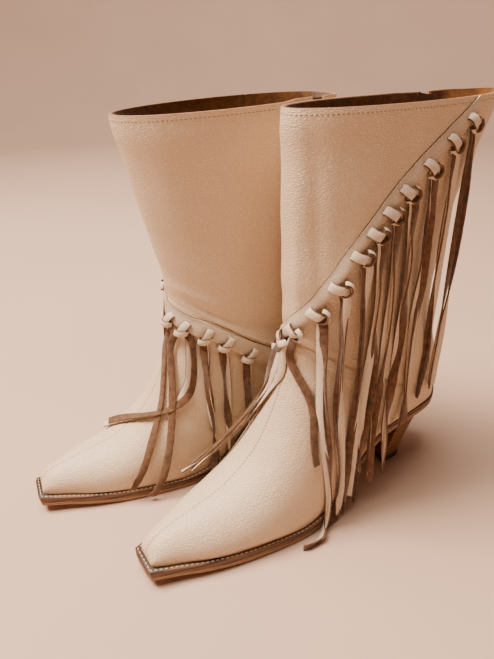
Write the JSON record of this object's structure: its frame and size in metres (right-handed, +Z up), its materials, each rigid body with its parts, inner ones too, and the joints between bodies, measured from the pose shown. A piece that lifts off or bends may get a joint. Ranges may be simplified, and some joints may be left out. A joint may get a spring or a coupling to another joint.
{
  "type": "pair of fringed western boots",
  "caption": "Pair of mid-calf western boots in bone pebbled leather, with a slanting band of knotted fringe, inside zips, welted soles and stacked heels.",
  "frame": {"origin": "centre of the pair's bounding box, on the floor under the soles", "axes": "+Z up, toes towards -Y, the left boot on the +X side of the right boot"},
  "size_m": [0.1886, 0.3552, 0.3027],
  "materials": {
    "bone_leather": "pebbled, satin",
    "lining_leather": "suede",
    "sole_leather": "burnished",
    "welt_leather": "waxed",
    "stacked_leather": "burnished",
    "puller_leather": "suede",
    "heel_rubber": "matt",
    "fibre_board": "matt",
    "cork": "matt",
    "steel": "satin",
    "zip_metal": "satin",
    "zip_tape": "woven"
  },
  "bodies": {
    "left_boot": {"left_outsole": "sole_leather", "left_welt": "welt_leather", "left_cork_filler": "cork", "left_shank": "steel", "left_insole_board": "fibre_board", "left_sock_liner": "lining_leather", "left_heel_screw": "steel", "left_heel_stack": "stacked_leather", "left_heel_lift": "heel_rubber", "left_lower_lateral": "bone_leather", "left_lower_medial": "bone_leather", "left_shaft_front": "bone_leather", "left_shaft_back": "bone_leather", "left_foot_lining": "lining_leather", "left_shaft_lining": "lining_leather", "left_toe_puff": "fibre_board", "left_heel_counter": "fibre_board", "left_band_lateral": "bone_leather", "left_band_medial": "bone_leather", "left_zip_chain": "zip_metal", "left_zip_tape": "zip_tape", "left_fringe_medial_front": "bone_leather", "left_fringe_medial_rear": "bone_leather"},
    "right_boot": {"right_outsole": "sole_leather", "right_welt": "welt_leather", "right_cork_filler": "cork", "right_shank": "steel", "right_insole_board": "fibre_board", "right_sock_liner": "lining_leather", "right_heel_screw": "steel", "right_heel_stack": "stacked_leather", "right_heel_lift": "heel_rubber", "right_lower_lateral": "bone_leather", "right_lower_medial": "bone_leather", "right_shaft_front": "bone_leather", "right_shaft_back": "bone_leather", "right_foot_lining": "lining_leather", "right_shaft_lining": "lining_leather", "right_toe_puff": "fibre_board", "right_heel_counter": "fibre_board", "right_band_lateral": "bone_leather", "right_band_medial": "bone_leather", "right_zip_chain": "zip_metal", "right_zip_tape": "zip_tape", "right_fringe_medial_front": "bone_leather", "right_fringe_medial_rear": "bone_leather"},
    "left_zip_slider": {"left_zip_slider": "zip_metal"},
    "left_zip_puller": {"left_zip_puller": "puller_leather"},
    "left_fringe_lateral_front": {"left_fringe_lateral_front": "bone_leather"},
    "left_fringe_lateral_middle": {"left_fringe_lateral_middle": "bone_leather"},
    "left_fringe_lateral_rear": {"left_fringe_lateral_rear": "bone_leather"},
    "right_zip_slider": {"right_zip_slider": "zip_metal"},
    "right_zip_puller": {"right_zip_puller": "puller_leather"},
    "right_fringe_lateral_front": {"right_fringe_lateral_front": "bone_leather"},
    "right_fringe_lateral_middle": {"right_fringe_lateral_middle": "bone_leather"},
    "right_fringe_lateral_rear": {"right_fringe_lateral_rear": "bone_leather"}
  },
  "joints": [
    {"name": "right_boot_lift", "type": "slide", "parent": "left_boot", "child": "right_boot", "axis": [0, 0, 1], "range_m": [0, 0.3]},
    {"name": "left_zip_travel", "type": "slide", "parent": "left_boot", "child": "left_zip_slider", "axis": [-0.037, -0.158, -0.9868], "range_m": [0, 0.158]},
    {"name": "left_puller_swing", "type": "hinge", "parent": "left_zip_slider", "child": "left_zip_puller", "pos_m": [0.01982, 0.13242, 0.29237], "axis": [0, 0.9874, -0.1581], "range_deg": [0, 120]},
    {"name": "left_fringe_front_swing", "type": "hinge", "parent": "left_boot", "child": "left_fringe_lateral_front", "pos_m": [0.06601, 0.00068, 0.17821], "axis": [-0.4934, -0.4262, -0.7582], "range_deg": [0, 20]},
    {"name": "left_fringe_middle_swing", "type": "hinge", "parent": "left_boot", "child": "left_fringe_lateral_middle", "pos_m": [0.08517, 0.0417, 0.23007], "axis": [-0.0976, -0.7098, -0.6976], "range_deg": [0, 20]},
    {"name": "left_fringe_rear_swing", "type": "hinge", "parent": "left_boot", "child": "left_fringe_lateral_rear", "pos_m": [0.08598, 0.09274, 0.27234], "axis": [0.0827, -0.8263, -0.5572], "range_deg": [0, 20]},
    {"name": "right_zip_travel", "type": "slide", "parent": "right_boot", "child": "right_zip_slider", "axis": [0.003, -0.01, -0.9999], "range_m": [0, 0.158]},
    {"name": "right_puller_swing", "type": "hinge", "parent": "right_zip_slider", "child": "right_zip_puller", "pos_m": [-0.00034, 0.05438, 0.29221], "axis": [-0.124, -0.9922, 0.01], "range_deg": [0, 15]},
    {"name": "right_fringe_front_swing", "type": "hinge", "parent": "right_boot", "child": "right_fringe_lateral_front", "pos_m": [-0.06632, -0.04392, 0.17786], "axis": [-0.4937, 0.3963, 0.7741], "range_deg": [0, 20]},
    {"name": "right_fringe_middle_swing", "type": "hinge", "parent": "right_boot", "child": "right_fringe_lateral_middle", "pos_m": [-0.08662, -0.01108, 0.22942], "axis": [-0.1472, 0.6087, 0.7796], "range_deg": [0, 20]},
    {"name": "right_fringe_rear_swing", "type": "hinge", "parent": "right_boot", "child": "right_fringe_lateral_rear", "pos_m": [-0.08813, 0.02667, 0.27192], "axis": [0.1298, 0.7098, 0.6923], "range_deg": [0, 20]}
  ]
}
